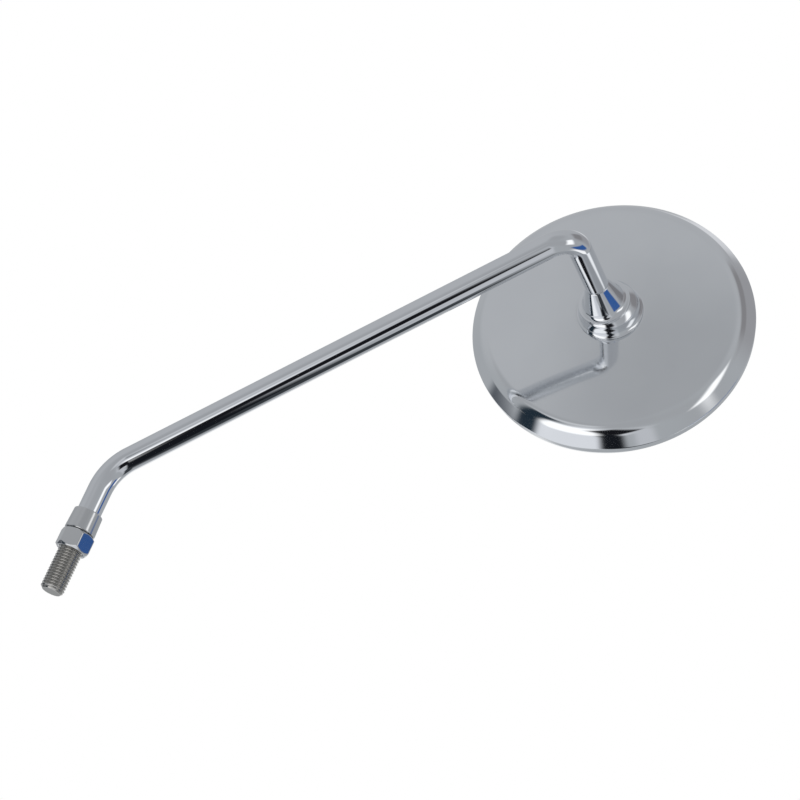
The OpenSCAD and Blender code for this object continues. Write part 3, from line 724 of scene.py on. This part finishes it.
def tent_tones(direction):
    """The colour of the tent's wall in each direction: the wall's own tone, over which each card is
    laid with a soft edge. A card is a rectangle in the two angles measured from its middle."""
    def soft(x):
        x = np.clip(x, 0, 1)
        return x * x * (3 - 2 * x)
    tones = np.repeat(np.array(linear(TENT_WALL))[None, :3], len(direction), 0)
    for _, azimuth, elevation, half_w, half_h, edge, lean, tone in TENT_CARDS:
        a, e, turn = radians(azimuth), radians(elevation), radians(lean)
        middle = np.array([np.sin(a) * np.cos(e), np.cos(a) * np.cos(e), np.sin(e)])
        level = np.array([np.cos(a), -np.sin(a), 0])
        upright = np.cross(level, middle)
        x_axis = level * np.cos(turn) + upright * np.sin(turn)
        y_axis = upright * np.cos(turn) - level * np.sin(turn)
        ahead = direction @ middle
        x = np.degrees(np.arctan2(direction @ x_axis, ahead))
        y = np.degrees(np.arctan2(direction @ y_axis, np.hypot(direction @ x_axis, ahead)))
        share = soft((half_w - np.abs(x)) / edge + 0.5) * soft((half_h - np.abs(y)) / edge + 0.5)
        tones += share[:, None] * (np.array(linear(tone))[:3] - tones)
    return tones / METAL_SHARE


def light_tent(columns=240, rows=120):
    """A sphere about the mirror whose wall glows in the tent's tones, seen by glossy rays alone."""
    a = np.linspace(0, 2 * pi, columns, endpoint=False)[:, None]
    e = np.radians(np.linspace(-89.9, 89.9, rows))[None, :]
    direction = np.stack([np.sin(a) * np.cos(e), np.cos(a) * np.cos(e), np.sin(e) + 0 * a], -1)
    index = np.arange(columns * rows).reshape(columns, rows)
    right = np.roll(index, -1, 0)
    quads = np.stack([index[:, :-1], index[:, 1:], right[:, 1:], right[:, :-1]], -1).reshape(-1, 4)
    mesh = bpy.data.meshes.new("light_tent")
    directions = direction.reshape(-1, 3)
    mesh.from_pydata((TENT_AT + TENT_R * directions).tolist(), [], quads.tolist())
    tones = np.ones((len(directions), 4), np.float32)
    tones[:, :3] = tent_tones(directions)
    mesh.attributes.new("glow", "FLOAT_COLOR", "POINT").data.foreach_set("color", tones.ravel())
    material = bpy.data.materials.new("glowing tent cloth")
    material.use_nodes = True
    material.cycles.emission_sampling = "NONE"
    tree = material.node_tree
    tree.nodes.clear()
    glow = add(tree, "ShaderNodeAttribute", attribute_name="glow")
    lit = add(tree, "ShaderNodeEmission", {"Color": glow.outputs["Color"]})
    add(tree, "ShaderNodeOutputMaterial", {"Surface": lit.outputs["Emission"]})
    mesh.materials.append(material)
    tent = bpy.data.objects.new("light_tent", mesh)
    bpy.context.scene.collection.objects.link(tent)
    tent.visible_camera = tent.visible_diffuse = tent.visible_shadow = False
    tent.visible_transmission = tent.visible_volume_scatter = False


def studio_floor(z=-0.74, half=6.0, mottles_per_metre=3.0):
    """A pale floor well below the mirror, with a barely seen mottling."""
    mesh = bpy.data.meshes.new("studio_floor")
    corners = [(-half, -half, z), (half, -half, z), (half, half, z), (-half, half, z)]
    mesh.from_pydata(corners, [], [(0, 1, 2, 3)])
    material, tree, shader = surface("matt white studio floor", Roughness=0.9)
    place = add(tree, "ShaderNodeTexCoord").outputs["Object"]
    mottle = add(tree, "ShaderNodeTexNoise", {"Vector": place, "Scale": mottles_per_metre})
    mix = add(tree, "ShaderNodeMix", {
        "Factor": mottle.outputs["Fac"], "A": linear("#f2f2f1"), "B": linear("#f7f7f6"),
    }, data_type="RGBA")
    tree.links.new(mix.outputs["Result"], shader.inputs["Base Color"])
    mesh.materials.append(material)
    floor = bpy.data.objects.new("studio_floor", mesh)
    bpy.context.scene.collection.objects.link(floor)


def studio_light(
    grey=0.55, lamp_size=1.2, lamp_power=30.0, lamp_at=(-0.3, 0.5, 1.9), lamp_lean=(-14, -8),
):
    """A white world to the camera and to metal and glass, a plain grey one that lights matt surfaces,
    and one large soft lamp overhead that gives the floor its shadow."""
    world = bpy.data.worlds.new("studio")
    bpy.context.scene.world = world
    world.use_nodes = True
    tree = world.node_tree
    tree.nodes.clear()
    path = add(tree, "ShaderNodeLightPath")
    seen = add(tree, "ShaderNodeMath", {
        0: path.outputs["Is Camera Ray"], 1: path.outputs["Is Glossy Ray"],
    }, operation="MAXIMUM")
    seen = add(tree, "ShaderNodeMath", {
        0: seen.outputs["Value"], 1: path.outputs["Is Transmission Ray"],
    }, operation="MAXIMUM")
    lit = add(tree, "ShaderNodeBackground", {"Color": linear("#ffffff"), "Strength": grey})
    white = add(tree, "ShaderNodeBackground", {"Color": linear("#ffffff"), "Strength": 1.0})
    mix = add(tree, "ShaderNodeMixShader", {
        0: seen.outputs["Value"], 1: lit.outputs["Background"], 2: white.outputs["Background"],
    })
    add(tree, "ShaderNodeOutputWorld", {"Surface": mix.outputs["Shader"]})
    lamp = bpy.data.lights.new("overhead_softbox", "AREA")
    lamp.shape, lamp.size, lamp.size_y, lamp.energy = "RECTANGLE", lamp_size, lamp_size, lamp_power
    hung = bpy.data.objects.new("overhead_softbox", lamp)
    hung.location = lamp_at
    hung.rotation_euler = (radians(lamp_lean[0]), radians(lamp_lean[1]), 0)
    hung.visible_glossy = False
    bpy.context.scene.collection.objects.link(hung)


light_tent()
studio_floor()
studio_light()

# The camera stands below and behind the mirror and looks up at its back. Its place, its axes and its
# focal length in pixels come from the fit to the photograph, whose pixels' centres lie half a pixel in
PHOTO_PX, FOCAL_PX, SENSOR_MM = 800, 3626.686, 36.0
CAMERA_AT = (-0.594593, 1.268891, -0.404085)
CAMERA_RIGHT = (-0.90188, -0.19597, 0.38498)
CAMERA_UP = (0.26800, 0.44515, 0.85441)
CAMERA_BACK = (-0.33881, 0.87375, -0.34895)
camera = bpy.data.cameras.new("camera")
camera.sensor_width = SENSOR_MM
camera.lens = SENSOR_MM * FOCAL_PX / PHOTO_PX
camera.shift_x, camera.shift_y = -0.5 / PHOTO_PX, 0.5 / PHOTO_PX
camera.clip_end = 50.0
viewer = bpy.data.objects.new("camera", camera)
turn = Matrix((CAMERA_RIGHT, CAMERA_UP, CAMERA_BACK)).transposed().to_4x4()
turn.translation = CAMERA_AT
viewer.matrix_world = turn
bpy.context.scene.collection.objects.link(viewer)
bpy.context.scene.camera = viewer
bpy.context.scene.view_settings.view_transform = "Standard"
